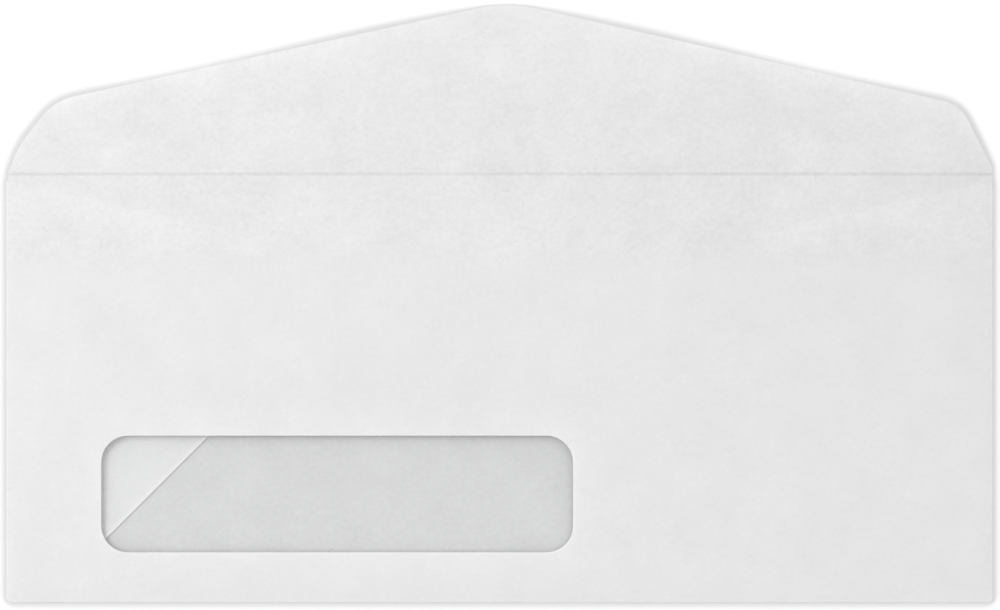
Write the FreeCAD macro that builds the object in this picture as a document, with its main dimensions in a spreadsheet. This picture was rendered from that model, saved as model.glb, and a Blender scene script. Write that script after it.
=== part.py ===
"""Paper window envelope, lying on its back with the seal flap open. Millimetres.

X runs along the envelope, Y from the bottom fold towards the flap's tip, and Z up
from the surface that it lies on. The origin is under the middle of the whole outline.
"""

import FreeCAD, Part

import math
import os

import Sketcher
from FreeCAD import Vector

# Driving sizes: alias, number in millimetres or degrees, and what it is.
SIZES = [
    ("envelope_length", 241.3, "left fold to right fold"),
    ("envelope_height", 104.775, "bottom fold to flap crease"),
    ("flap_depth", 41.3, "flap crease to the flap's tip"),
    ("paper_thickness", 0.12, "one layer of 90 gram paper"),
    ("pocket_gap", 0.5, "free space inside the pocket along its folds"),
    ("mouth_rise", 6.5, "how far the front springs up at the middle of the crease"),
    ("tip_slope_run", 0.5, "how far past its tip the flap would touch down"),
    ("peak_offset", 1.75, "flap tip to the right of the middle"),
    ("peak_radius", 34, "rounding of the flap's tip"),
    ("left_slant_angle", 12.3, "flap's long left edge to the crease"),
    ("right_slant_angle", 12.8, "flap's long right edge to the crease"),
    ("left_side_angle", 69, "flap's short left edge to the crease, lower part"),
    ("left_brow_angle", 52, "flap's short left edge to the crease, upper part"),
    ("right_side_angle", 63.1, "flap's short right edge to the crease"),
    ("left_side_run", 2.6, "left side of the panel to where the left edge's parts meet"),
    ("left_side_radius", 25, "rounding where the left edge's parts meet"),
    ("left_shoulder_radius", 13.5, "rounding of the flap's left shoulder"),
    ("right_shoulder_radius", 8.7, "rounding of the flap's right shoulder"),
    ("right_side_start", 1.7, "straight end above the crease, on the right only"),
    ("window_length", 115.4, "address window along X"),
    ("window_height", 28.6, "address window along Y"),
    ("window_left", 23.2, "left fold to the window"),
    ("window_bottom", 12.3, "bottom fold to the window"),
    ("window_radius", 6.6, "window corners"),
    ("film_margin", 9.5, "window film beyond the window, on each side"),
    ("film_thickness", 0.04, "clear window film"),
    ("film_glue", 0.03, "glue line between the front panel and the film"),
    ("side_flap_reach", 92.1, "side fold to the side flap's unrounded corner"),
    ("side_flap_drop", 21.4, "crease to the side flap's unrounded corner"),
    ("side_flap_top", 1.4, "crease to the side flap's upper end at the fold"),
    ("side_flap_foot", 9.4, "side flap's straight lower end"),
    ("side_flap_lift", 0.4, "side flap's lower end above the bottom fold's bend"),
    ("side_flap_radius", 5, "rounding of the side flap's corner"),
    ("back_flap_drop", 22.3, "crease to the back flap's upper edge"),
    ("back_flap_inset", 0.6, "side fold's bend to the back flap's short side edge"),
    ("back_flap_radius", 9, "rounding of the back flap's upper corners"),
    ("seam_overlap", 9.5, "width of the glued diagonal seams"),
    ("trim_margin", 2, "how far a trimming outline reaches past the paper"),
]

# Evenly spaced sections that give the film its bend, the last one at its upper edge.
FILM_SECTIONS = 4


class Size:
    """A size that carries its number and the sheet expression that drives it."""

    def __init__(self, value, text):
        self.value = value
        self.text = text

    def __add__(self, other):
        other = as_size(other)
        return Size(self.value + other.value, f"({self.text} + {other.text})")

    def __sub__(self, other):
        other = as_size(other)
        return Size(self.value - other.value, f"({self.text} - {other.text})")

    def __mul__(self, other):
        other = as_size(other)
        return Size(self.value * other.value, f"({self.text} * {other.text})")

    def __truediv__(self, other):
        other = as_size(other)
        return Size(self.value / other.value, f"({self.text} / {other.text})")

    def __neg__(self):
        return Size(-self.value, f"(0 - {self.text})")


def as_size(number):
    return number if isinstance(number, Size) else Size(number, str(number))


def tangent(angle):
    return Size(math.tan(math.radians(angle.value)), f"tan({angle.text})")


def cosine(angle):
    return Size(math.cos(math.radians(angle.value)), f"cos({angle.text})")


def square_root(size):
    return Size(math.sqrt(size.value), f"sqrt({size.text})")


def make_sheet(doc):
    """The spreadsheet of driving sizes."""
    sheet = doc.addObject("Spreadsheet::Sheet", "Sizes")
    for row, (alias, value, note) in enumerate(SIZES, start=1):
        sheet.set(f"A{row}", alias)
        sheet.set(f"B{row}", str(value))
        sheet.set(f"C{row}", note)
        sheet.setAlias(f"B{row}", alias)
    doc.recompute()
    return {alias: Size(value, f"Sizes.{alias}") for alias, value, note in SIZES}


class Places:
    """Places that follow from the driving sizes and that several features share."""

    def __init__(self, s):
        paper = s["paper_thickness"]
        self.panel_under = paper * 2 + s["pocket_gap"]
        self.side_bend = s["pocket_gap"] / 2
        self.side_bend_middle = paper * 2 + self.side_bend
        self.bottom_bend = (paper + s["pocket_gap"]) / 2
        self.bottom_bend_middle = paper + self.bottom_bend
        self.fold_left = -s["envelope_length"] / 2
        self.panel_half = s["envelope_length"] / 2 - self.side_bend - paper
        self.fold_bottom = -(s["envelope_height"] + s["flap_depth"]) / 2
        self.panel_foot = self.fold_bottom + self.bottom_bend + paper
        self.crease = self.fold_bottom + s["envelope_height"]
        self.tip = self.crease + s["flap_depth"]
        self.touch_down = self.tip + s["tip_slope_run"]
        self.side_flap_end = self.crease - s["side_flap_top"]
        self.side_flap_foot = self.panel_foot + s["side_flap_lift"]


def new_sketch(body, name, role, height):
    """A sketch parallel to one of the body's origin planes, height along that plane's normal."""
    plane = next(item for item in body.Origin.OriginFeatures if item.Role == role)
    sketch = body.newObject("Sketcher::SketchObject", name)
    sketch.AttachmentSupport = (plane, [""])
    sketch.MapMode = "FlatFace"
    sketch.AttachmentOffset = FreeCAD.Placement(Vector(0, 0, height.value), FreeCAD.Rotation())
    sketch.setExpression("AttachmentOffset.Base.z", height.text)
    return sketch


def constrain(sketch, size, kind, *places):
    """A dimension whose number stays bound to the sheet."""
    index = sketch.addConstraint(Sketcher.Constraint(kind, *places, size.value))
    sketch.setExpression(f"Constraints[{index}]", size.text)


def place_point(sketch, geometry, end, x, y):
    """Puts one point of a sketch's geometry at x, y."""
    constrain(sketch, x, "DistanceX", -1, 1, geometry, end)
    constrain(sketch, y, "DistanceY", -1, 1, geometry, end)


def corner_arc(before, here, after, radius):
    """The rounding of one corner: its arc, and whether the arc's own start comes first."""
    back = (before - here).normalize()
    ahead = (after - here).normalize()
    half_angle = back.getAngle(ahead) / 2
    centre = here + (back + ahead).normalize() * (radius / math.sin(half_angle))
    reach = radius / math.tan(half_angle)
    first = here + back * reach
    last = here + ahead * reach
    turns_left = (here - before).cross(after - here).z > 0
    start, end = (first, last) if turns_left else (last, first)
    circle = Part.Circle(centre, Vector(0, 0, 1), radius)
    return Part.ArcOfCircle(circle, angle_of(start - centre), angle_of(end - centre)), turns_left


def angle_of(vector):
    return math.atan2(vector.y, vector.x)


def draw_outline(sketch, corners):
    """A closed outline. Each corner is x, y and a rounding radius, or None where it is sharp."""
    points = [Vector(x.value, y.value, 0) for x, y, radius in corners]
    arcs = []
    for number, (x, y, radius) in enumerate(corners):
        if radius is None:
            arcs.append(None)
            continue
        before = points[number - 1]
        after = points[(number + 1) % len(points)]
        arc, start_first = corner_arc(before, points[number], after, radius.value)
        arcs.append((sketch.addGeometry(arc), 1 if start_first else 2))
    lines = []
    for number, here in enumerate(points):
        following = (number + 1) % len(points)
        leave = arc_end(sketch, arcs[number], False) or here
        reach = arc_end(sketch, arcs[following], True) or points[following]
        lines.append(sketch.addGeometry(Part.LineSegment(leave, reach)))
    for number, (x, y, radius) in enumerate(corners):
        incoming, outgoing = lines[number - 1], lines[number]
        if radius is None:
            sketch.addConstraint(Sketcher.Constraint("Coincident", incoming, 2, outgoing, 1))
            place_point(sketch, outgoing, 1, x, y)
            continue
        arc, first = arcs[number]
        sketch.addConstraint(Sketcher.Constraint("Tangent", incoming, 2, arc, first))
        sketch.addConstraint(Sketcher.Constraint("Tangent", arc, 3 - first, outgoing, 1))
        constrain(sketch, radius, "Radius", arc)
        vertex = sketch.addGeometry(Part.Point(points[number]), True)
        sketch.addConstraint(Sketcher.Constraint("PointOnObject", vertex, 1, incoming))
        sketch.addConstraint(Sketcher.Constraint("PointOnObject", vertex, 1, outgoing))
        place_point(sketch, vertex, 1, x, y)


def arc_end(sketch, arc, incoming):
    """Where an outline meets a corner's arc, or None at a sharp corner."""
    if arc is None:
        return None
    index, first = arc
    return arc_point(sketch, index, first if incoming else 3 - first)


def arc_point(sketch, index, end):
    """Where an arc starts, for end 1, or ends, for end 2."""
    geometry = sketch.Geometry[index]
    return geometry.StartPoint if end == 1 else geometry.EndPoint


def join_arcs(sketch, arcs):
    """Straight lines between two arcs, from start to start and from end to end."""
    for end in (1, 2):
        ends = [arc_point(sketch, index, end) for index in arcs]
        line = sketch.addGeometry(Part.LineSegment(*ends))
        for line_end, index in enumerate(arcs, start=1):
            sketch.addConstraint(Sketcher.Constraint("Coincident", line, line_end, index, end))


def draw_bend(sketch, x, y, inner, wall, outward):
    """The section of a fold: half a ring about x, y, bulging to the right if outward is 1."""
    centre = Vector(x.value, y.value, 0)
    turn = 0 if outward == 1 else math.pi
    arcs = []
    for radius in (inner, inner + wall):
        circle = Part.Circle(centre, Vector(0, 0, 1), radius.value)
        arc = Part.ArcOfCircle(circle, turn - math.pi / 2, turn + math.pi / 2)
        index = sketch.addGeometry(arc)
        arcs.append(index)
        constrain(sketch, radius, "Radius", index)
        sketch.addConstraint(Sketcher.Constraint("Vertical", index, 3, index, 1))
        sketch.addConstraint(Sketcher.Constraint("Vertical", index, 3, index, 2))
    sketch.addConstraint(Sketcher.Constraint("Coincident", arcs[0], 3, arcs[1], 3))
    place_point(sketch, arcs[0], 3, x, y)
    join_arcs(sketch, arcs)


def draw_rectangle(sketch, left, right, bottom, top, radius=None):
    corners = [(left, bottom), (right, bottom), (right, top), (left, top)]
    draw_outline(sketch, [(x, y, radius) for x, y in corners])


def draw_arch(sketch, left, right, half, under, thickness, rise):
    """The section of a sheet that springs up, from left to right, off an arch from -half to half."""
    radius = (half * half + rise * rise) / (rise * 2)
    start = math.acos(right.value / radius.value)
    end = math.acos(left.value / radius.value)
    arcs = []
    for level in (under, under + thickness):
        centre_height = level + rise - radius
        circle = Part.Circle(Vector(0, centre_height.value, 0), Vector(0, 0, 1), radius.value)
        index = sketch.addGeometry(Part.ArcOfCircle(circle, start, end))
        arcs.append(index)
        constrain(sketch, radius, "Radius", index)
        constrain(sketch, centre_height, "DistanceY", -1, 1, index, 3)
        sketch.addConstraint(Sketcher.Constraint("PointOnObject", index, 3, -2))
        constrain(sketch, right, "DistanceX", -1, 1, index, 1)
        constrain(sketch, left, "DistanceX", -1, 1, index, 2)
    join_arcs(sketch, arcs)


def pad(body, name, sketch, length, both_ways=False):
    feature = body.newObject("PartDesign::Pad", name)
    feature.Profile = sketch
    feature.setExpression("Length", length.text)
    feature.SideType = "Symmetric" if both_ways else "One side"
    return feature


def cut_through(body, name, sketch):
    """Cuts a sketch on the resting plane up through everything made so far."""
    feature = body.newObject("PartDesign::Pocket", name)
    feature.Profile = sketch
    feature.Type = "ThroughAll"
    feature.Reversed = True
    return feature


def loft(body, name, sections):
    feature = body.newObject("PartDesign::AdditiveLoft", name)
    feature.Profile = sections[0]
    feature.Sections = sections[1:]
    feature.Ruled = True
    return feature


def flap_corners(s, p):
    """The seal flap's unrounded corners: left edge, left shoulder, tip and right shoulder."""
    arc_middle = p.tip - s["peak_radius"]
    left_slope = tangent(s["left_slant_angle"])
    right_slope = tangent(s["right_slant_angle"])
    left_top = arc_middle + s["peak_radius"] / cosine(s["left_slant_angle"])
    right_top = arc_middle + s["peak_radius"] / cosine(s["right_slant_angle"])
    peak_step = (right_top - left_top) / (left_slope + right_slope)
    peak = (s["peak_offset"] + peak_step, left_top + left_slope * peak_step)
    side_steep = tangent(s["left_side_angle"])
    side_run = s["left_side_run"]
    side = (side_run - p.panel_half, p.crease + side_steep * side_run)
    left_steep = tangent(s["left_brow_angle"])
    left_start = side[1] - left_steep * side_run
    right_steep = tangent(s["right_side_angle"])
    left_run = p.panel_half + s["peak_offset"]
    right_run = p.panel_half - s["peak_offset"]
    right_start = p.crease + s["right_side_start"]
    left_inset = (left_top - left_slope * left_run - left_start) / (left_steep - left_slope)
    right_inset = (right_top - right_slope * right_run - right_start) / (right_steep - right_slope)
    left = (left_inset - p.panel_half, left_start + left_steep * left_inset)
    right = (p.panel_half - right_inset, right_start + right_steep * right_inset)
    return side, left, peak, right


def trim_flap(body, s, p):
    """Cuts the sheet above the crease to the seal flap's outline."""
    left_side, left, peak, right = flap_corners(s, p)
    margin = s["trim_margin"]
    side = p.panel_half + margin
    above = p.touch_down + margin
    left_low = p.crease - tangent(s["left_side_angle"]) * margin
    right_low = p.crease + s["right_side_start"] - tangent(s["right_side_angle"]) * margin
    sketch = new_sketch(body, "FlapTrim", "XY_Plane", as_size(0))
    draw_outline(
        sketch,
        [
            (side, right_low, None),
            (side, above, None),
            (-side, above, None),
            (-side, left_low, None),
            (*left_side, s["left_side_radius"]),
            (*left, s["left_shoulder_radius"]),
            (*peak, s["peak_radius"]),
            (*right, s["right_shoulder_radius"]),
        ],
    )
    cut_through(body, "TrimFlap", sketch)


def window_edges(s, p):
    """Left, right, bottom and top of the address window."""
    left = p.fold_left + s["window_left"]
    bottom = p.fold_bottom + s["window_bottom"]
    return left, left + s["window_length"], bottom, bottom + s["window_height"]


def cut_window(body, s, p):
    left, right, bottom, top = window_edges(s, p)
    sketch = new_sketch(body, "WindowOutline", "XY_Plane", as_size(0))
    draw_rectangle(sketch, left, right, bottom, top, s["window_radius"])
    cut_through(body, "CutWindow", sketch)


def add_side_folds(body, s, p):
    """The two side folds, and the side flaps that they turn in under the front panel."""
    paper = s["paper_thickness"]
    bends = new_sketch(body, "SideBends", "XZ_Plane", -p.side_flap_end)
    for side in (-1, 1):
        draw_bend(bends, p.panel_half * side, p.side_bend_middle, p.side_bend, paper, side)
    pad(body, "SideFolds", bends, p.side_flap_end - p.side_flap_foot)
    flaps = new_sketch(body, "SideFlapOutlines", "XY_Plane", paper)
    for side in (-1, 1):
        fold = p.panel_half * side
        corner = (s["envelope_length"] / 2 - s["side_flap_reach"]) * side
        foot = (s["envelope_length"] / 2 - s["side_flap_foot"]) * side
        draw_outline(
            flaps,
            [
                (fold, p.side_flap_foot, None),
                (foot, p.side_flap_foot, None),
                (corner, p.crease - s["side_flap_drop"], s["side_flap_radius"]),
                (fold, p.side_flap_end, None),
            ],
        )
    pad(body, "SideFlaps", flaps, paper)


def add_back(body, s, p):
    """The bottom fold, and the back flap that it turns up over the side flaps."""
    paper = s["paper_thickness"]
    side = p.panel_half - s["back_flap_inset"]
    bend = new_sketch(body, "BottomBend", "YZ_Plane", as_size(0))
    draw_bend(bend, p.panel_foot, p.bottom_bend_middle, p.bottom_bend, paper, -1)
    pad(body, "BottomFold", bend, side * 2, both_ways=True)
    seam_rise = p.crease - s["side_flap_drop"] - p.side_flap_foot
    seam_run = s["side_flap_reach"] - s["side_flap_foot"]
    seam_length = square_root(seam_rise * seam_rise + seam_run * seam_run)
    shift = s["seam_overlap"] * seam_length / seam_rise
    seam_foot = s["envelope_length"] / 2 - s["side_flap_foot"] + shift
    top = p.crease - s["back_flap_drop"]
    slope = seam_rise / seam_run
    shoulder = p.side_flap_foot + (seam_foot - side) * slope
    corner = seam_foot - (top - p.side_flap_foot) / slope
    radius = s["back_flap_radius"]
    sketch = new_sketch(body, "BackFlapOutline", "XY_Plane", as_size(0))
    draw_outline(
        sketch,
        [
            (-side, p.panel_foot, None),
            (side, p.panel_foot, None),
            (side, shoulder, None),
            (corner, top, radius),
            (-corner, top, radius),
            (-side, shoulder, None),
        ],
    )
    pad(body, "BackFlap", sketch, paper)


def make_folded_blank(doc, s, p):
    """The whole envelope but its film: one sheet of paper, cut, folded and glued to itself."""
    body = doc.addObject("PartDesign::Body", "folded_blank")
    paper = s["paper_thickness"]
    half = p.panel_half
    foot = new_sketch(body, "PanelFoot", "XZ_Plane", -p.panel_foot)
    draw_rectangle(foot, -half, half, p.panel_under, p.panel_under + paper)
    mouth = new_sketch(body, "PanelMouth", "XZ_Plane", -p.crease)
    draw_arch(mouth, -half, half, half, p.panel_under, paper, s["mouth_rise"])
    end = new_sketch(body, "FlapEnd", "XZ_Plane", -p.touch_down)
    draw_rectangle(end, -half, half, as_size(0), paper)
    loft(body, "PanelAndFlap", [foot, mouth, end])
    trim_flap(body, s, p)
    cut_window(body, s, p)
    add_side_folds(body, s, p)
    add_back(body, s, p)
    return body


def make_window_film(doc, s, p):
    """The clear film glued inside the front panel, over the window, bent as the panel is there."""
    body = doc.addObject("PartDesign::Body", "window_film")
    film = s["film_thickness"]
    margin = s["film_margin"]
    left, right, bottom, top = window_edges(s, p)
    under = p.panel_under - s["film_glue"] - film
    flat = new_sketch(body, "FilmFoot", "XZ_Plane", -p.panel_foot)
    draw_rectangle(flat, left - margin, right + margin, under, under + film)
    sections = [flat]
    for number in range(1, FILM_SECTIONS + 1):
        run = (top + margin - p.panel_foot) * (number / FILM_SECTIONS)
        rise = s["mouth_rise"] * run / (p.crease - p.panel_foot)
        section = new_sketch(body, f"FilmSection{number}", "XZ_Plane", -(p.panel_foot + run))
        draw_arch(section, left - margin, right + margin, p.panel_half, under, film, rise)
        sections.append(section)
    loft(body, "FilmWeb", sections)
    strip = new_sketch(body, "FilmLowerEdge", "XY_Plane", as_size(0))
    wide = margin + s["trim_margin"]
    below = p.panel_foot - s["trim_margin"]
    draw_rectangle(strip, left - wide, right + wide, below, bottom - margin)
    cut_through(body, "TrimFilm", strip)
    return body


def check(doc, nodes):
    """Stops if a feature failed or a node isn't one valid solid."""
    for item in doc.Objects:
        if "Invalid" in item.State or "Error" in item.State:
            raise RuntimeError(f"{item.Name} failed: {item.State}")
    for node in nodes:
        shape = node.Shape
        if shape.isNull() or not shape.isValid() or len(shape.Solids) != 1:
            raise RuntimeError(f"{node.Label} isn't one valid solid")


def main():
    doc = FreeCAD.newDocument("paper_envelope")
    sizes = make_sheet(doc)
    places = Places(sizes)
    nodes = [make_folded_blank(doc, sizes, places), make_window_film(doc, sizes, places)]
    doc.recompute()
    check(doc, nodes)
    os.makedirs("parts", exist_ok=True)
    for node in nodes:
        node.Shape.exportStep(f"parts/{node.Label}.step")
        box = node.Shape.optimalBoundingBox(False, False)
        sides = f"{box.XLength:.2f} x {box.YLength:.2f} x {box.ZLength:.2f} mm"
        print(f"{node.Label}: {node.Shape.Volume:.1f} mm3, {sides}")


main()
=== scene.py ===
import math

import bpy
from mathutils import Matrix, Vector, geometry, kdtree, noise


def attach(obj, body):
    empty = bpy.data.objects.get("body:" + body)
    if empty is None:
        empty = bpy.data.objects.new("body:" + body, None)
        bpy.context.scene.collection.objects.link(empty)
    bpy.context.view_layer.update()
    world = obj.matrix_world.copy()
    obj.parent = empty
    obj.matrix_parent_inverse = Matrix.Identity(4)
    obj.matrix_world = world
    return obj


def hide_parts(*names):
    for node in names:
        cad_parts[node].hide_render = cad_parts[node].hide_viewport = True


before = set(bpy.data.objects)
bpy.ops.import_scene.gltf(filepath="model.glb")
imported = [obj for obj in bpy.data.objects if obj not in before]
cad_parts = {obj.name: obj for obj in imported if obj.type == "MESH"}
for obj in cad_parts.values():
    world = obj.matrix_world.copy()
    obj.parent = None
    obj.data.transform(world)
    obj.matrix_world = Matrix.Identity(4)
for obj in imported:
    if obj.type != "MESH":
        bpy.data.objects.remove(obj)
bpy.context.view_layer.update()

MM = 0.001

# The envelope's own sizes, as its solids have them.
LENGTH = 241.3 * MM
HEIGHT = 104.775 * MM
FLAP_DEPTH = 41.3 * MM
PAPER = 0.12 * MM
POCKET_GAP = 0.5 * MM
MOUTH_RISE = 6.5 * MM
TIP_SLOPE_RUN = 0.5 * MM
FOLD_BOTTOM = -(HEIGHT + FLAP_DEPTH) / 2
CREASE = FOLD_BOTTOM + HEIGHT
TIP = CREASE + FLAP_DEPTH
TOUCH_DOWN = TIP + TIP_SLOPE_RUN
PANEL_UNDER = 2 * PAPER + POCKET_GAP
PANEL_HALF = LENGTH / 2 - POCKET_GAP / 2 - PAPER
BOTTOM_BEND = (PAPER + POCKET_GAP) / 2
PANEL_FOOT = FOLD_BOTTOM + BOTTOM_BEND + PAPER

# The seal flap's outline.
PEAK_OFFSET = 1.75 * MM
PEAK_RADIUS = 34 * MM
LEFT_SLANT = math.radians(12.3)
RIGHT_SLANT = math.radians(12.8)
LEFT_SIDE = math.radians(69)
LEFT_BROW = math.radians(52)
RIGHT_SIDE = math.radians(63.1)
LEFT_SIDE_RUN = 2.6 * MM
LEFT_SIDE_RADIUS = 25 * MM
LEFT_SHOULDER_RADIUS = 13.5 * MM
RIGHT_SHOULDER_RADIUS = 8.7 * MM
RIGHT_SIDE_START = 1.7 * MM

# The window and its film.
WINDOW_LEFT = -LENGTH / 2 + 23.2 * MM
WINDOW_RIGHT = WINDOW_LEFT + 115.4 * MM
WINDOW_BOTTOM = FOLD_BOTTOM + 12.3 * MM
WINDOW_TOP = WINDOW_BOTTOM + 28.6 * MM
WINDOW_RADIUS = 6.6 * MM
FILM_MARGIN = 9.5 * MM
FILM = 0.04 * MM
FILM_DROP = 0.15 * MM

# The flaps behind.
SIDE_REACH = 92.1 * MM
SIDE_DROP = 21.4 * MM
SIDE_END = CREASE - 1.4 * MM
SIDE_FOOT = PANEL_FOOT + 0.4 * MM
SIDE_FOOT_WIDTH = 9.4 * MM
SIDE_RADIUS = 5 * MM
BACK_TOP = CREASE - 22.3 * MM
BACK_HALF = PANEL_HALF - 0.6 * MM
BACK_RADIUS = 9 * MM
SEAM_OVERLAP = 9.5 * MM
SEAM_GLUE = 0.02 * MM

# The diagonal seam: where it starts on the side flap's foot, its slope and its length.
SEAM_START = LENGTH / 2 - SIDE_FOOT_WIDTH
SEAM_RISE = CREASE - SIDE_DROP - SIDE_FOOT
SEAM_RUN = SIDE_REACH - SIDE_FOOT_WIDTH
SEAM_LENGTH = math.hypot(SEAM_RISE, SEAM_RUN)

# How far the paper leaves its plain bent shape, and over what width or area.
FLAP_BOW = 0.8 * MM
COCKLE = 0.1 * MM
COCKLE_SIZE = Vector((52 * MM, 34 * MM))
WINDOW_LIFT = 0.6 * MM
LIFT_SIZE = Vector((15 * MM, 24 * MM))
WINDOW_SAG = 1.6 * MM
SAG_PLACE = Vector((-15 * MM, PANEL_FOOT + 30 * MM))
SAG_SIZE = Vector((55 * MM, 20 * MM))
FOLD_CROWN = 0.3 * MM
FOLD_CROWN_WIDTH = 3 * MM
DIE_ROLL = 0.1 * MM
DIE_ROLL_WIDTH = 0.55 * MM
SCORE_DEPTH = 0.11 * MM
SCORE_WIDTH = 0.4 * MM
EDGE_CURL = 0.3 * MM
EDGE_CURL_WIDTH = 1.0 * MM

# How finely the paper is divided: along outlines, inside them, round a fold, across the score
# and round the window. The last two are distances in millimetres.
OUTLINE_STEP = 1.2 * MM
GRID_STEP = 1.7 * MM
GRID_CLEARANCE = 0.62 * GRID_STEP
SHARP_ANGLE = math.radians(50)
BEND_STEPS = 8
SCORE_ROWS = (-1.2, -0.7, -0.4, -0.2, 0, 0.2, 0.4, 0.7, 1.2)
EDGE_LOOPS = (0.25, 0.6, 1.2)

# The paper's lightness, the light it lets through and how matt it is.
PAPER_WHITE = 0.97
PAPER_LETS_THROUGH = 0.3
PAPER_ROUGHNESS = 0.86
PAPER_SPECULAR = 0.25

# The sizes of the paper's clouds, fibre flocks, pits, tooth and felt marks, and how far the
# first two swing its tone.
CLOUD_SIZE = 12 * MM
CLOUD_SWING = 0.036
FLOCK_SIZE = 1.2 * MM
FLOCK_SWING = 0.055
PIT_SIZE = 0.7 * MM
PIT_TONE = -0.025
TOOTH_SIZE = 0.22 * MM
TOOTH_DEPTH = 0.02 * MM
FELT_SIZE = 2.5 * MM
FELT_DEPTH = 0.05 * MM

# Tones of the paper's faces, the inside one darkened as painted shade and the doubled one lightened
# as painted light, and what is added to them: painted light where flaps lie behind, on the flap and
# at its tip, painted shade at the score, the crease and the flap, painted highlights at the
# window's and the seam's cut edges, and the glued margin and gum.
FRONT_TONE = 0.985
INSIDE_SHADED_TONE = 0.89
DOUBLED_LIGHT_TONE = 0.985
SIDE_FLAP_LIGHT = 0.022
BACK_FLAP_LIGHT = 0.006
SCORE_SHADE = -0.1
CREASE_SHADE = -0.012
FLAP_SHADE = -0.018
FLAP_LIGHT = 0.004
TIP_LIGHT = 0.02
WINDOW_RIM_HIGHLIGHT = 0.025
GLUED_TONE = 0.01
SEAM_HIGHLIGHT = 0.06
GUM_TONE = -0.05

# How far from the throat, the crease and the cut edges that painted light and shade reach.
BAND_DEPTH = 10 * MM
BAND_LENGTH = 72 * MM
SCORE_REACH = 0.6 * MM
CREASE_SHADE_REACH = 9 * MM
FLAP_SHADE_REACH = 90 * MM
WINDOW_RIM = 0.45 * MM
SEAM_RIM = 0.9 * MM

# The band of dried gum inside the seal flap, and the film's gloss seen straight on.
GUM_INSET = 3 * MM
GUM_WIDTH = 11 * MM
GUM_SMOOTHING = -0.5
FILM_SHINE = 0.006

# The studio: a pale floor, a large soft lamp up on the left, and an even sky.
FLOOR_SIZE = 4.0
FLOOR_DROP = 0.03 * MM
LAMP_PLACE = Vector((-0.76, 0.24, 0.94))
LAMP_SIZE = 0.68
LAMP_POWER = 4.6
SKY = 0.858
FLOOR_TONE = 0.9
FLOOR_SEEN_TONE = 0.37
FLOOR_GLOW = 0.67

# The floor's painted contact shade next to the envelope, from ambient occlusion: how far it reaches
# and its darkest share.
CONTACT_REACH = 3.2 * MM
CONTACT_DARK = 0.75
OPEN_AIR = 0.865

# The camera looks straight down, as the photo does.
PHOTO_WIDTH = 1000
PIXELS_PER_METRE = 4088
CAMERA_HEIGHT = 3.0
CAMERA_OFFSET = Vector((0.05 * MM, -0.23 * MM))


def smooth(value, low, high):
    """0 below low, 1 above high, and a soft step between them."""
    share = min(max((value - low) / (high - low), 0), 1)
    return share * share * (3 - 2 * share)


def arch(x):
    """How much of the mouth's rise there is at x: all in the middle and none at the folds."""
    radius = (PANEL_HALF ** 2 + MOUTH_RISE ** 2) / (2 * MOUTH_RISE)
    inside = max(radius ** 2 - x ** 2, 0)
    return (math.sqrt(inside) - (radius - MOUTH_RISE)) / MOUTH_RISE


def panel_height(x, y):
    """Underside of the front panel, or of the open flap above the crease, which bows a little."""
    if y <= CREASE:
        share = (y - PANEL_FOOT) / (CREASE - PANEL_FOOT)
        return PANEL_UNDER + MOUTH_RISE * arch(x) * share
    share = (TOUCH_DOWN - y) / (TOUCH_DOWN - CREASE)
    bow = FLAP_BOW * 4 * share * (1 - share)
    return (PANEL_UNDER + MOUTH_RISE * arch(x)) * share + bow


def outside_window(x, y):
    """Distance of a point outside the window's rounded outline, negative inside."""
    across = abs(x - (WINDOW_LEFT + WINDOW_RIGHT) / 2) - (WINDOW_RIGHT - WINDOW_LEFT) / 2
    along = abs(y - (WINDOW_BOTTOM + WINDOW_TOP) / 2) - (WINDOW_TOP - WINDOW_BOTTOM) / 2
    across += WINDOW_RADIUS
    along += WINDOW_RADIUS
    corner = math.hypot(max(across, 0), max(along, 0))
    return corner + min(max(across, along), 0) - WINDOW_RADIUS


def fold_crown(x, y):
    """How far the panel stands proud of its three folds, next to which it rounds off."""
    from_side = max(PANEL_HALF - abs(x), 0)
    from_foot = max(y - PANEL_FOOT, 0)
    side_share = 1 - math.exp(-from_side / FOLD_CROWN_WIDTH)
    foot_share = 1 - math.exp(-from_foot / FOLD_CROWN_WIDTH)
    return FOLD_CROWN * side_share * foot_share * (1 - smooth(y, CREASE, CREASE + 9 * MM))


def panel_wave(x, y):
    """Soft waves, with a bulge at the window's left end and a hollow round the rest of it."""
    calm = smooth(PANEL_HALF - abs(x), 0, 12 * MM) * smooth(y - PANEL_FOOT, 0, 12 * MM)
    calm *= smooth(TIP - y, -5 * MM, 20 * MM)
    wave = COCKLE * noise.noise(Vector((x / COCKLE_SIZE.x, y / COCKLE_SIZE.y, 0.3)))
    across = (x - WINDOW_LEFT) / LIFT_SIZE.x
    along = (y - (WINDOW_BOTTOM + WINDOW_TOP) / 2) / LIFT_SIZE.y
    lift = WINDOW_LIFT * math.exp(-across * across - along * along)
    across = (x - SAG_PLACE.x) / SAG_SIZE.x
    along = (y - SAG_PLACE.y) / SAG_SIZE.y
    sag = WINDOW_SAG * math.exp(-across * across - along * along)
    return calm * (wave + lift - sag) + fold_crown(x, y)


def panel_middle(x, y):
    """Middle of the panel's paper, with its waves, the window's rolled edge and the score."""
    roll = DIE_ROLL * math.exp(-max(outside_window(x, y), 0) / DIE_ROLL_WIDTH)
    score = SCORE_DEPTH * math.exp(-((y - CREASE) / SCORE_WIDTH) ** 2)
    score *= smooth(PANEL_HALF - abs(x), 0, 1 * MM)
    return panel_height(x, y) + panel_wave(x, y) - roll - score + PAPER / 2


def film_middle(x, y):
    """Middle of the film, a little under the panel's paper."""
    return panel_height(x, y) + panel_wave(x, y) - FILM_DROP - FILM / 2


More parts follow.
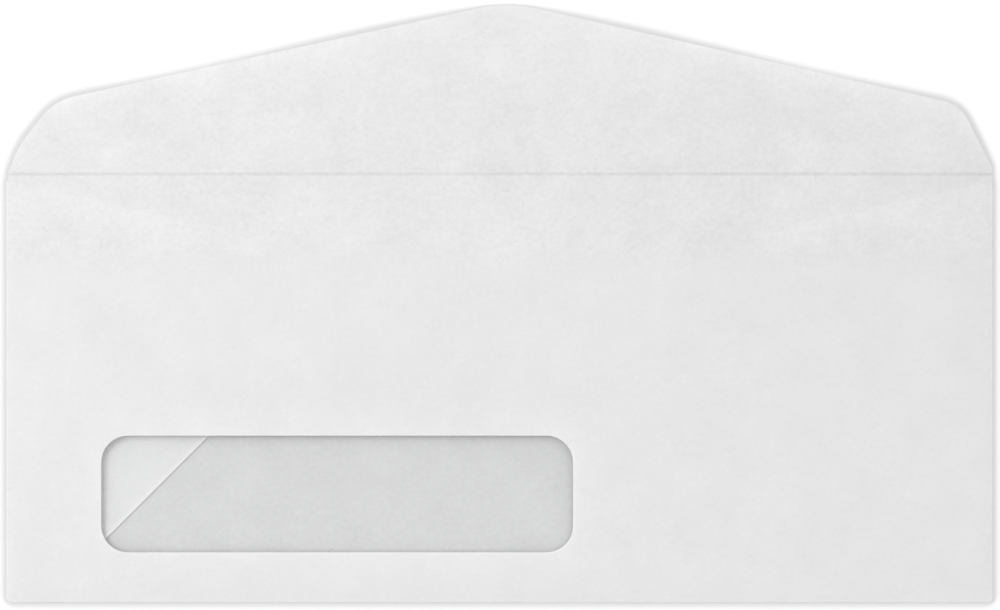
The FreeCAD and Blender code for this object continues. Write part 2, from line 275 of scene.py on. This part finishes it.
def side_flap_middle(x, y):
    """The side flaps lie on the back flap, and their free lower edges stand up a little."""
    inside = ((abs(x) - SEAM_START) * SEAM_RISE + (y - SIDE_FOOT) * SEAM_RUN) / SEAM_LENGTH
    curl = EDGE_CURL * math.exp(-max(inside, 0) / EDGE_CURL_WIDTH)
    curl *= smooth(y - SIDE_FOOT, 0, 8 * MM) * smooth(PANEL_HALF - abs(x), 0, 8 * MM)
    glue = SEAM_GLUE / 2 * smooth(PANEL_HALF - abs(x), 0, 0.5 * MM)
    return 1.5 * PAPER + glue + curl


def back_flap_middle(x, y):
    """The back flap lies flat on whatever the envelope lies on."""
    return PAPER / 2


def rounded_outline(corners):
    """Points along a closed outline, anticlockwise. Each corner is x, y and a rounding radius."""
    points = [Vector(corner[:2]) for corner in corners]
    path = []
    for number, (x, y, radius) in enumerate(corners):
        here = points[number]
        if not radius:
            path.append([here])
            continue
        back = (points[number - 1] - here).normalized()
        ahead = (points[(number + 1) % len(points)] - here).normalized()
        half_angle = back.angle(ahead) / 2
        middle = here + (back + ahead).normalized() * (radius / math.sin(half_angle))
        reach = radius / math.tan(half_angle)
        start = here + back * reach - middle
        turn = start.angle_signed(here + ahead * reach - middle)
        steps = max(math.ceil(abs(turn) * radius / OUTLINE_STEP), 6)
        path.append([middle + rotated(start, -turn * step / steps) for step in range(steps + 1)])
    loop = []
    for number, stretch in enumerate(path):
        loop.extend(stretch)
        following = path[(number + 1) % len(path)][0]
        loop.extend(divided(stretch[-1], following)[1:-1])
    return loop


def rotated(vector, angle):
    cosine, sine = math.cos(angle), math.sin(angle)
    return Vector((vector.x * cosine - vector.y * sine, vector.x * sine + vector.y * cosine))


def divided(start, end):
    """Evenly spaced points from start to end, both included."""
    steps = max(round((end - start).length / OUTLINE_STEP), 1)
    return [start.lerp(end, step / steps) for step in range(steps + 1)]


class Sheet:
    """Paper as a middle surface, patch by patch, which then gets its thickness."""

    def __init__(self):
        self.points = []
        self.faces = []
        self.places = {}

    def point(self, co):
        """The number of the point there. Patches that meet share their border points."""
        key = tuple(round(value / (0.001 * MM)) for value in co)
        if key not in self.places:
            self.places[key] = len(self.points)
            self.points.append(Vector(co))
        return self.places[key]

    def patch(self, outline, height, look, hole=(), extra=(), turned_under=False):
        """A flat-cut piece with this outline, whose middle is at height(x, y)."""
        fixed = list(outline)
        edges = loop_edges(0, len(outline))
        edges += loop_edges(len(fixed), len(hole))
        fixed += hole
        fixed += extra
        inner = grid_points(fixed)
        corners, _, triangles, *_ = geometry.delaunay_2d_cdt(
            fixed + inner, edges, [list(range(len(outline)))], 1, 1e-8
        )
        for triangle in triangles:
            middle = sum((corners[i] for i in triangle), Vector((0, 0))) / 3
            if hole and outside_window(*middle) < 0:
                continue
            ring = [self.point((*corners[i], height(*corners[i]))) for i in triangle]
            self.faces.append((ring[::-1] if turned_under else ring, look))

    def bend(self, start, end, middle_height, radius, outward, look):
        """Half a turn of paper along the fold from start to end, outward of it."""
        rows = []
        for here in divided(start, end):
            row = []
            for step in range(BEND_STEPS + 1):
                angle = math.pi * (0.5 - step / BEND_STEPS)
                place = here + outward * (radius * math.cos(angle))
                row.append(self.point((*place, middle_height + radius * math.sin(angle))))
            rows.append(row)
        for row, following in zip(rows, rows[1:]):
            for i in range(BEND_STEPS):
                self.faces.append(([row[i], row[i + 1], following[i + 1], following[i]], look))

    def solid(self, name, thickness, materials):
        """A closed mesh of the sheet. look is a pair: the outer and the inner material's number."""
        middle = bpy.data.meshes.new(name + "_middle")
        middle.from_pydata(self.points, [], [ring for ring, look in self.faces])
        normals = [Vector(item.vector) for item in middle.vertex_normals]
        count = len(self.points)
        half = thickness / 2
        points = [co + n * half for co, n in zip(self.points, normals)]
        points += [co - n * half for co, n in zip(self.points, normals)]
        faces = [ring for ring, look in self.faces]
        faces += [[i + count for i in reversed(ring)] for ring, look in self.faces]
        looks = [look[0] for ring, look in self.faces] + [look[1] for ring, look in self.faces]
        used = {}
        for ring, look in self.faces:
            for a, b in zip(ring, ring[1:] + ring[:1]):
                used[a, b] = look[0]
        for (a, b), look in used.items():
            if (b, a) not in used:
                faces.append([b, a, a + count, b + count])
                looks.append(look)
        mesh = bpy.data.meshes.new(name)
        mesh.from_pydata(points, [], faces)
        for material in materials:
            mesh.materials.append(material)
        mesh.polygons.foreach_set("material_index", looks)
        mesh.polygons.foreach_set("use_smooth", [True] * len(faces))
        mesh.set_sharp_from_angle(angle=SHARP_ANGLE)
        bpy.data.meshes.remove(middle)
        piece = bpy.data.objects.new(name, mesh)
        bpy.context.scene.collection.objects.link(piece)
        return piece


def loop_edges(first, count):
    return [(first + i, first + (i + 1) % count) for i in range(count)]


def grid_points(fixed):
    """Staggered points over the fixed ones' box, none of them crowding a fixed one."""
    tree = kdtree.KDTree(len(fixed))
    for number, co in enumerate(fixed):
        tree.insert((*co, 0), number)
    tree.balance()
    low_x = min(co[0] for co in fixed)
    low_y = min(co[1] for co in fixed)
    columns = math.ceil((max(co[0] for co in fixed) - low_x) / GRID_STEP)
    rows = math.ceil((max(co[1] for co in fixed) - low_y) / GRID_STEP)
    found = []
    for row in range(rows):
        for column in range(columns):
            x = low_x + GRID_STEP * (column + 0.5 * (row % 2))
            co = Vector((x, low_y + GRID_STEP * row))
            if tree.find((*co, 0))[2] > GRID_CLEARANCE:
                found.append(co)
    return found


def flap_corners():
    """The seal flap's unrounded corners: left edge, left shoulder, tip and right shoulder."""
    arc_middle = TIP - PEAK_RADIUS
    left_slope, right_slope = math.tan(LEFT_SLANT), math.tan(RIGHT_SLANT)
    left_top = arc_middle + PEAK_RADIUS / math.cos(LEFT_SLANT)
    right_top = arc_middle + PEAK_RADIUS / math.cos(RIGHT_SLANT)
    step = (right_top - left_top) / (left_slope + right_slope)
    left_run, right_run = PANEL_HALF + PEAK_OFFSET, PANEL_HALF - PEAK_OFFSET
    left_steep, right_steep = math.tan(LEFT_BROW), math.tan(RIGHT_SIDE)
    side_top = CREASE + math.tan(LEFT_SIDE) * LEFT_SIDE_RUN
    left_start = side_top - left_steep * LEFT_SIDE_RUN
    right_start = CREASE + RIGHT_SIDE_START
    left_inset = (left_top - left_slope * left_run - left_start) / (left_steep - left_slope)
    right_inset = (right_top - right_slope * right_run - right_start) / (right_steep - right_slope)
    return (
        (LEFT_SIDE_RUN - PANEL_HALF, side_top, LEFT_SIDE_RADIUS),
        (left_inset - PANEL_HALF, left_start + left_steep * left_inset, LEFT_SHOULDER_RADIUS),
        (PEAK_OFFSET + step, left_top + left_slope * step, PEAK_RADIUS),
        (PANEL_HALF - right_inset, right_start + right_steep * right_inset, RIGHT_SHOULDER_RADIUS),
    )


def panel_outline():
    """Front panel and seal flap in one, with its corners where the folds begin and end."""
    left_side, left, peak, right = flap_corners()
    corners = [
        (-BACK_HALF, PANEL_FOOT, 0),
        (BACK_HALF, PANEL_FOOT, 0),
        (PANEL_HALF, PANEL_FOOT, 0),
        (PANEL_HALF, SIDE_FOOT, 0),
        (PANEL_HALF, SIDE_END, 0),
        (PANEL_HALF, CREASE + RIGHT_SIDE_START, 0),
        right,
        peak,
        left,
        left_side,
        (-PANEL_HALF, CREASE, 0),
        (-PANEL_HALF, SIDE_END, 0),
        (-PANEL_HALF, SIDE_FOOT, 0),
        (-PANEL_HALF, PANEL_FOOT, 0),
    ]
    return rounded_outline(corners)


def window_outline(spread=0):
    """The window's outline, clockwise as a hole, spread outward by a distance."""
    corners = [
        (WINDOW_LEFT - spread, WINDOW_BOTTOM - spread),
        (WINDOW_RIGHT + spread, WINDOW_BOTTOM - spread),
        (WINDOW_RIGHT + spread, WINDOW_TOP + spread),
        (WINDOW_LEFT - spread, WINDOW_TOP + spread),
    ]
    return rounded_outline([(x, y, WINDOW_RADIUS + spread) for x, y in corners])


def fine_points():
    """Points that follow the score and the window's rolled edge."""
    found = [co for spread in EDGE_LOOPS for co in window_outline(spread * MM)]
    steps = round(2 * PANEL_HALF / GRID_STEP)
    for row in SCORE_ROWS:
        y = CREASE + row * MM
        found += [Vector((PANEL_HALF * (2 * i / steps - 1), y)) for i in range(1, steps)]
    return found


def side_flap_outline(side):
    """One side flap, anticlockwise. side is -1 on the left and 1 on the right."""
    corners = [
        (-PANEL_HALF, SIDE_FOOT, 0),
        (-SEAM_START, SIDE_FOOT, 0),
        (SIDE_REACH - LENGTH / 2, CREASE - SIDE_DROP, SIDE_RADIUS),
        (-PANEL_HALF, SIDE_END, 0),
    ]
    if side == 1:
        corners = [(-x, y, radius) for x, y, radius in reversed(corners)]
    return rounded_outline(corners)


def back_flap_outline():
    """The back flap, anticlockwise, whose slanted sides run along the seams."""
    slope = SEAM_RISE / SEAM_RUN
    seam_foot = SEAM_START + SEAM_OVERLAP * SEAM_LENGTH / SEAM_RISE
    shoulder = SIDE_FOOT + (seam_foot - BACK_HALF) * slope
    corner = seam_foot - (BACK_TOP - SIDE_FOOT) / slope
    return rounded_outline(
        [
            (-BACK_HALF, PANEL_FOOT, 0),
            (BACK_HALF, PANEL_FOOT, 0),
            (BACK_HALF, shoulder, 0),
            (corner, BACK_TOP, BACK_RADIUS),
            (-corner, BACK_TOP, BACK_RADIUS),
            (-BACK_HALF, shoulder, 0),
        ]
    )


class Graph:
    """A material's node tree, with short ways to add to it."""

    def __init__(self, name):
        self.material = bpy.data.materials.new(name)
        self.material.use_nodes = True
        self.tree = self.material.node_tree
        self.tree.nodes.clear()
        self.output = self.tree.nodes.new("ShaderNodeOutputMaterial")

    def add(self, kind, **inputs):
        node = self.tree.nodes.new(kind)
        for name, value in inputs.items():
            self.put(node.inputs[name.replace("_", " ")], value)
        return node

    def put(self, socket, value):
        if isinstance(value, bpy.types.NodeSocket):
            self.tree.links.new(value, socket)
        else:
            socket.default_value = value

    def math(self, operation, first, second=0.0, third=0.0):
        node = self.tree.nodes.new("ShaderNodeMath")
        node.operation = operation
        for socket, value in zip(node.inputs, (first, second, third)):
            self.put(socket, value)
        return node.outputs[0]

    def step(self, value, low, high):
        """0 below low, 1 above high, and a soft step between them."""
        node = self.add("ShaderNodeMapRange", Value=value, From_Min=low, From_Max=high)
        node.interpolation_type = "SMOOTHSTEP"
        return node.outputs[0]

    def place(self):
        """The object's own coordinates: the vector, and its X and Y."""
        vector = self.add("ShaderNodeTexCoord").outputs["Object"]
        parts = self.add("ShaderNodeSeparateXYZ", Vector=vector)
        return vector, parts.outputs[0], parts.outputs[1]

    def noise(self, vector, size, detail=2.0, roughness=0.5):
        """Noise from 0 to 1 whose features are about size metres wide."""
        node = self.add("ShaderNodeTexNoise", Vector=vector, Scale=1 / size)
        self.put(node.inputs["Detail"], detail)
        self.put(node.inputs["Roughness"], roughness)
        return node.outputs[0]

    def swing(self, value, amount):
        """value from 0 to 1 turned into a swing of that amount either way."""
        return self.math("MULTIPLY_ADD", value, 2 * amount, -amount)

    def sum(self, *values):
        total = values[0]
        for value in values[1:]:
            total = self.math("ADD", total, value)
        return total

    def product(self, *values):
        total = values[0]
        for value in values[1:]:
            total = self.math("MULTIPLY", total, value)
        return total


def paper_surface(graph, tone, grain=1.0):
    """Matt wove paper that lets a little light through: cloudy, speckled and with a fine tooth."""
    vector = graph.place()[0]
    clouds = graph.swing(graph.noise(vector, CLOUD_SIZE, 3, 0.7), CLOUD_SWING)
    flocks = graph.swing(graph.noise(vector, FLOCK_SIZE, 4, 0.75), FLOCK_SWING)
    pits = graph.product(graph.step(graph.noise(vector, PIT_SIZE, 2), 0.58, 0.78), PIT_TONE)
    mottle = graph.product(graph.sum(clouds, flocks, pits), grain)
    level = graph.math("MINIMUM", graph.product(graph.sum(tone, mottle), PAPER_WHITE), 1.0)
    colour = graph.add("ShaderNodeCombineColor", Red=level, Green=level, Blue=level).outputs[0]
    stretched = graph.add("ShaderNodeMapping", Vector=vector, Scale=(1, 2.6, 1)).outputs[0]
    tooth = graph.noise(stretched, TOOTH_SIZE, 4, 0.6)
    felt = graph.noise(vector, FELT_SIZE, 2)
    fine = graph.add("ShaderNodeBump", Strength=0.25, Distance=TOOTH_DEPTH, Height=tooth)
    bump = graph.add("ShaderNodeBump", Strength=0.3, Distance=FELT_DEPTH, Height=felt)
    graph.put(bump.inputs["Normal"], fine.outputs[0])
    shader = graph.add("ShaderNodeBsdfPrincipled", Base_Color=colour, Normal=bump.outputs[0])
    shader.inputs["Roughness"].default_value = PAPER_ROUGHNESS
    shader.inputs["Specular IOR Level"].default_value = PAPER_SPECULAR
    through = graph.add("ShaderNodeBsdfTranslucent", Color=colour)
    mix = graph.add("ShaderNodeMixShader", Fac=PAPER_LETS_THROUGH)
    graph.put(mix.inputs[1], shader.outputs[0])
    graph.put(mix.inputs[2], through.outputs[0])
    graph.put(graph.output.inputs[0], mix.outputs[0])
    return shader


def beyond_window(graph, x, y):
    """Distance of a point outside the window's rounded outline."""
    reaches = []
    for value, low, high in ((x, WINDOW_LEFT, WINDOW_RIGHT), (y, WINDOW_BOTTOM, WINDOW_TOP)):
        from_middle = graph.math("ABSOLUTE", graph.math("SUBTRACT", value, (low + high) / 2))
        reach = graph.math("SUBTRACT", from_middle, (high - low) / 2 - WINDOW_RADIUS)
        reaches.append(graph.math("MAXIMUM", reach, 0.0))
    across, along = reaches
    squares = graph.sum(graph.product(across, across), graph.product(along, along))
    return graph.math("SUBTRACT", graph.math("SQRT", squares), WINDOW_RADIUS)


def front_material():
    """The outer face, with painted light where the flaps behind show through faintly, on the seal
    flap and at its tip, painted shade along the score and round the crease, a painted highlight
    round the window, and a lighter glued margin.
    """
    graph = Graph("paper_front")
    x, y = graph.place()[1:]
    side = graph.math("ABSOLUTE", x)
    reach = graph.math("SUBTRACT", PANEL_HALF, side)
    throat_slope = (SIDE_DROP - (CREASE - SIDE_END)) / (SIDE_REACH - LENGTH / 2 + PANEL_HALF)
    edge = graph.math("MULTIPLY_ADD", reach, -throat_slope, SIDE_END)
    below = graph.math("SUBTRACT", edge, y)
    # Painted light: a lighter band on the front just below where each side flap's upper edge lies
    # behind it.
    band = graph.product(
        graph.step(below, 0, 0.6 * MM),
        graph.step(below, BAND_DEPTH, BAND_DEPTH / 5),
        graph.step(reach, BAND_LENGTH, BAND_LENGTH * 5 / 8),
        SIDE_FLAP_LIGHT,
    )
    # Painted light: the front a touch lighter wherever the back flap lies behind it.
    back = graph.step(y, BACK_TOP + 0.4 * MM, BACK_TOP - 0.4 * MM)
    from_crease = graph.math("ABSOLUTE", graph.math("SUBTRACT", y, CREASE))
    flap = graph.step(y, CREASE, CREASE + 1 * MM)
    # Painted shade: the seal flap darker near the crease and towards its middle.
    flap_shade = graph.product(
        flap,
        graph.step(y, TIP - 12 * MM, CREASE + 12 * MM),
        graph.step(side, FLAP_SHADE_REACH, FLAP_SHADE_REACH * 7 / 18),
        FLAP_SHADE,
    )
    beyond = beyond_window(graph, x, y)
    bare = graph.step(y, BACK_TOP - 2 * MM, BACK_TOP + 6 * MM)
    grain = graph.math("MULTIPLY_ADD", bare, 0.9, 1.0)
    tone = graph.sum(
        FRONT_TONE,
        band,
        flap_shade,
        graph.product(back, BACK_FLAP_LIGHT),
        # Painted light: the seal flap a touch lighter than the panel.
        graph.product(flap, FLAP_LIGHT),
        # Painted light: the seal flap lighter towards its tip.
        graph.product(graph.step(y, CREASE + 16 * MM, TIP - 6 * MM), TIP_LIGHT),
        # Painted shade: a thin dark line along the score.
        graph.product(graph.step(from_crease, SCORE_REACH, 0), SCORE_SHADE),
        # Painted shade: a broad, faint darkening on both sides of the crease.
        graph.product(graph.step(from_crease, CREASE_SHADE_REACH, 0), CREASE_SHADE),
        # Painted highlight: a narrow lighter lip just outside the window's cut edge.
        graph.product(graph.step(beyond, WINDOW_RIM, WINDOW_RIM / 9), WINDOW_RIM_HIGHLIGHT),
        graph.product(graph.step(beyond, FILM_MARGIN, 4 * MM), GLUED_TONE),
    )
    paper_surface(graph, tone, grain)
    return graph.material


def inner_material():
    """The face inside the folds, toned darker than the front as painted shade, with the band of
    dried gum along the seal flap's rim.
    """
    graph = Graph("paper_inside")
    x, y = graph.place()[1:]
    peak = flap_corners()[2]
    slants = []
    for angle, sign in ((LEFT_SLANT, 1), (RIGHT_SLANT, -1)):
        along = graph.math("MULTIPLY_ADD", x, sign * math.sin(angle), peak[1] * math.cos(angle))
        offset = sign * peak[0] * math.sin(angle)
        across = graph.math("MULTIPLY", y, math.cos(angle))
        slants.append(graph.math("SUBTRACT", graph.math("SUBTRACT", along, offset), across))
    depth = graph.math("MINIMUM", *slants)
    rim = graph.product(
        graph.step(depth, GUM_INSET, GUM_INSET + 0.4 * MM),
        graph.step(depth, GUM_INSET + GUM_WIDTH + 0.4 * MM, GUM_INSET + GUM_WIDTH),
        graph.step(y, CREASE + 3 * MM, CREASE + 4 * MM),
    )
    # Painted shade: the inside face's tone is set darker than the front's.
    tone = graph.sum(INSIDE_SHADED_TONE, graph.product(rim, GUM_TONE))
    shader = paper_surface(graph, tone, 1.4)
    roughness = graph.math("MULTIPLY_ADD", rim, GUM_SMOOTHING, PAPER_ROUGHNESS)
    graph.put(shader.inputs["Roughness"], roughness)
    return graph.material


def doubled_material():
    """The side flaps' upper faces, painted whiter for the light that the back flap behind them
    sends back, with a painted highlight along the seam.
    """
    graph = Graph("paper_doubled")
    x, y = graph.place()[1:]
    reach = graph.math("SUBTRACT", graph.math("ABSOLUTE", x), SEAM_START)
    across = graph.product(reach, SEAM_RISE / SEAM_LENGTH)
    height = graph.math("SUBTRACT", y, SIDE_FOOT)
    inside = graph.math("MULTIPLY_ADD", height, SEAM_RUN / SEAM_LENGTH, across)
    # Painted highlight: a lighter line along the side flap's free edge at the seam.
    seam_highlight = graph.product(graph.step(inside, SEAM_RIM, SEAM_RIM * 4 / 9), SEAM_HIGHLIGHT)
    # Painted light: these faces toned lighter than the inside face.
    paper_surface(graph, graph.sum(DOUBLED_LIGHT_TONE, seam_highlight))
    return graph.material


def film_material():
    """Clear window film: see-through from above, with a soft gloss that grows at flat angles."""
    graph = Graph("window_film_clear")
    vector = graph.place()[0]
    ripple = graph.noise(vector, 9 * MM, 2)
    bump = graph.add("ShaderNodeBump", Strength=0.12, Distance=0.1 * MM, Height=ripple).outputs[0]
    haze = graph.noise(vector, 3 * MM, 2)
    rough = graph.math("MULTIPLY_ADD", haze, 0.06, 0.1)
    clear = graph.add("ShaderNodeBsdfTransparent", Color=(0.998, 0.999, 0.999, 1))
    gloss = graph.add("ShaderNodeBsdfAnisotropic", Color=(1, 1, 1, 1), Roughness=rough, Normal=bump)
    tilt = graph.add("ShaderNodeLayerWeight", Blend=0.5, Normal=bump).outputs["Facing"]
    shine = graph.math("MULTIPLY_ADD", graph.math("POWER", tilt, 5.0), 1 - FILM_SHINE, FILM_SHINE)
    mix = graph.add("ShaderNodeMixShader", Fac=shine)
    graph.put(mix.inputs[1], clear.outputs[0])
    graph.put(mix.inputs[2], gloss.outputs[0])
    graph.put(graph.output.inputs[0], mix.outputs[0])
    return graph.material


def make_paper():
    """The whole folded sheet, as the one piece of paper that it is."""
    front, inside, doubled = 0, 1, 2
    sheet = Sheet()
    sheet.patch(panel_outline(), panel_middle, (front, inside), window_outline(), fine_points())
    for side in (-1, 1):
        sheet.patch(side_flap_outline(side), side_flap_middle, (inside, doubled), turned_under=True)
        ends = [Vector((side * PANEL_HALF, y)) for y in (SIDE_FOOT, SIDE_END)]
        radius = (POCKET_GAP + PAPER) / 2
        middle = 2 * PAPER + POCKET_GAP / 2
        sheet.bend(*ends[::side], middle, radius, Vector((side, 0)), (front, inside))
    sheet.patch(back_flap_outline(), back_flap_middle, (inside, inside), turned_under=True)
    ends = [Vector((side * BACK_HALF, PANEL_FOOT)) for side in (-1, 1)]
    radius = BOTTOM_BEND + PAPER / 2
    sheet.bend(*ends, PAPER + BOTTOM_BEND, radius, Vector((0, -1)), (front, inside))
    materials = [front_material(), inner_material(), doubled_material()]
    piece = sheet.solid("folded_sheet", PAPER, materials)
    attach(piece, "root")
    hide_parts("folded_blank")


def make_film():
    """The clear film behind the window, as the panel bends it."""
    sheet = Sheet()
    left, right = WINDOW_LEFT - FILM_MARGIN, WINDOW_RIGHT + FILM_MARGIN
    bottom, top = WINDOW_BOTTOM - FILM_MARGIN, WINDOW_TOP + FILM_MARGIN
    corners = [(left, bottom, 0), (right, bottom, 0), (right, top, 0), (left, top, 0)]
    sheet.patch(rounded_outline(corners), film_middle, (0, 0))
    piece = sheet.solid("clear_film", FILM, [film_material()])
    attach(piece, "root")
    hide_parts("window_film")


def make_floor():
    """A matt floor with the envelope's shadow and a painted contact shade next to it, which also
    glows a little where it is looked at.
    """
    mesh = bpy.data.meshes.new("floor")
    half = FLOOR_SIZE / 2
    corners = [(-half, -half), (half, -half), (half, half), (-half, half)]
    mesh.from_pydata([(x, y, -FLOOR_DROP) for x, y in corners], [], [(0, 1, 2, 3)])
    floor = bpy.data.objects.new("floor", mesh)
    bpy.context.scene.collection.objects.link(floor)
    graph = Graph("floor_white")
    # Painted contact shade: ambient occlusion darkens the floor's colour and glow next to the
    # envelope.
    air = graph.add("ShaderNodeAmbientOcclusion", Distance=CONTACT_REACH).outputs["AO"]
    shade = graph.add("ShaderNodeMapRange", Value=air, From_Min=OPEN_AIR, To_Min=CONTACT_DARK)
    contact_shade = shade.outputs[0]
    rays = graph.add("ShaderNodeLightPath").outputs
    not_matt = graph.math("SUBTRACT", 1.0, rays["Is Diffuse Ray"])
    through = graph.product(rays["Is Transmission Ray"], not_matt)
    straight = graph.math("MAXIMUM", rays["Is Camera Ray"], rays["Is Glossy Ray"])
    seen = graph.math("MAXIMUM", straight, through)
    tone = graph.math("MULTIPLY_ADD", seen, FLOOR_SEEN_TONE - FLOOR_TONE, FLOOR_TONE)
    level = graph.product(contact_shade, tone)
    pale = graph.add("ShaderNodeCombineColor", Red=level, Green=level, Blue=level).outputs[0]
    matt = graph.add("ShaderNodeBsdfDiffuse", Color=pale)
    glow = graph.add("ShaderNodeEmission", Strength=graph.product(seen, contact_shade, FLOOR_GLOW))
    both = graph.add("ShaderNodeAddShader")
    graph.put(both.inputs[0], matt.outputs[0])
    graph.put(both.inputs[1], glow.outputs[0])
    graph.put(graph.output.inputs[0], both.outputs[0])
    mesh.materials.append(graph.material)


def make_sky():
    """Even light from all round, and plain white behind the floor's far edge."""
    world = bpy.data.worlds.new("studio")
    world.use_nodes = True
    nodes, links = world.node_tree.nodes, world.node_tree.links
    sky = nodes["Background"]
    sky.inputs["Strength"].default_value = SKY
    sky.inputs["Color"].default_value = (1, 1, 1, 1)
    white = nodes.new("ShaderNodeBackground")
    white.inputs["Color"].default_value = (1, 1, 1, 1)
    rays = nodes.new("ShaderNodeLightPath")
    mix = nodes.new("ShaderNodeMixShader")
    links.new(rays.outputs["Is Camera Ray"], mix.inputs[0])
    links.new(sky.outputs[0], mix.inputs[1])
    links.new(white.outputs[0], mix.inputs[2])
    links.new(mix.outputs[0], nodes["World Output"].inputs[0])
    bpy.context.scene.world = world


def make_lamp():
    data = bpy.data.lights.new("soft_lamp", "AREA")
    data.shape = "DISK"
    data.size = LAMP_SIZE
    data.energy = LAMP_POWER
    lamp = bpy.data.objects.new("soft_lamp", data)
    lamp.location = LAMP_PLACE
    lamp.rotation_euler = (-LAMP_PLACE).to_track_quat("-Z", "Y").to_euler()
    bpy.context.scene.collection.objects.link(lamp)


def make_camera():
    data = bpy.data.cameras.new("camera")
    data.lens = data.sensor_width * CAMERA_HEIGHT / (PHOTO_WIDTH / PIXELS_PER_METRE)
    camera = bpy.data.objects.new("camera", data)
    camera.location = (*CAMERA_OFFSET, CAMERA_HEIGHT)
    bpy.context.scene.collection.objects.link(camera)
    bpy.context.scene.camera = camera


bpy.context.scene.view_settings.view_transform = "Standard"
make_camera()
make_floor()
make_sky()
make_lamp()
make_paper()
make_film()
